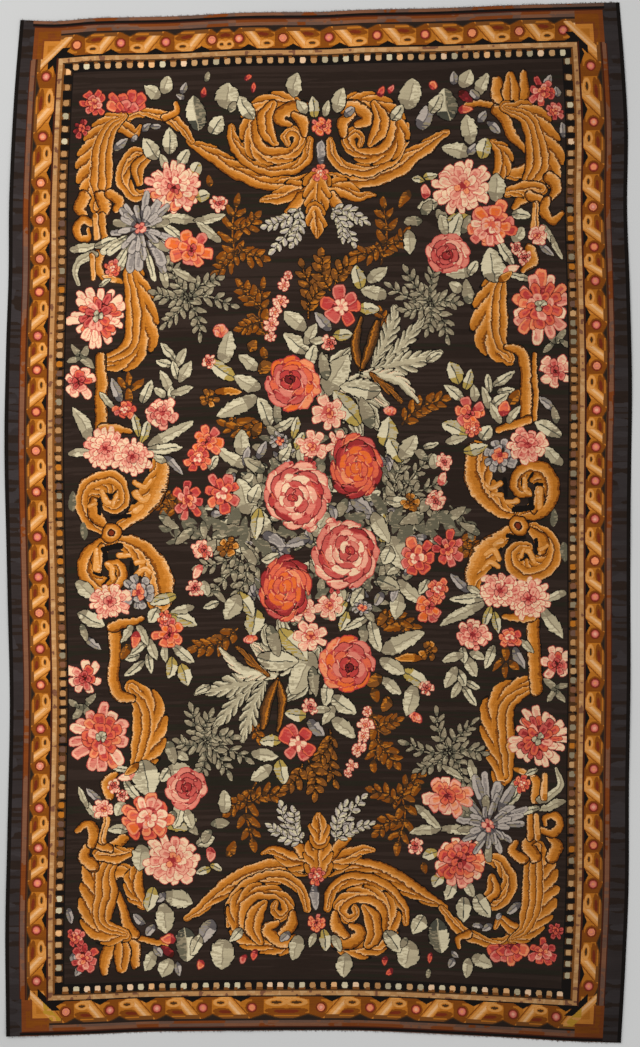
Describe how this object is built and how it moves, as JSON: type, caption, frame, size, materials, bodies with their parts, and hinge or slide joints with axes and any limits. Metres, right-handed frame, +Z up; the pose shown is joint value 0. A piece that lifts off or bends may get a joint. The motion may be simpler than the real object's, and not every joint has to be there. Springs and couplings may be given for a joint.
{
  "type": "kilim rug",
  "caption": "Flat-woven wool kilim rug lying flat, dark ground with a traditional floral field, beaded line and amber ribbon border.",
  "frame": {"origin": "middle of the underside of the rug's enclosing rectangle, on the floor", "axes": "+X across the rug along the weft, +Y along the warp towards the top of the design, +Z up"},
  "size_m": [1.6937, 2.808, 0.003],
  "materials": {
    "wool_weave": "matt weft-faced wool weave with worn dyed colours"
  },
  "bodies": {
    "root": {"kilim_cloth": "wool_weave"}
  },
  "joints": []
}
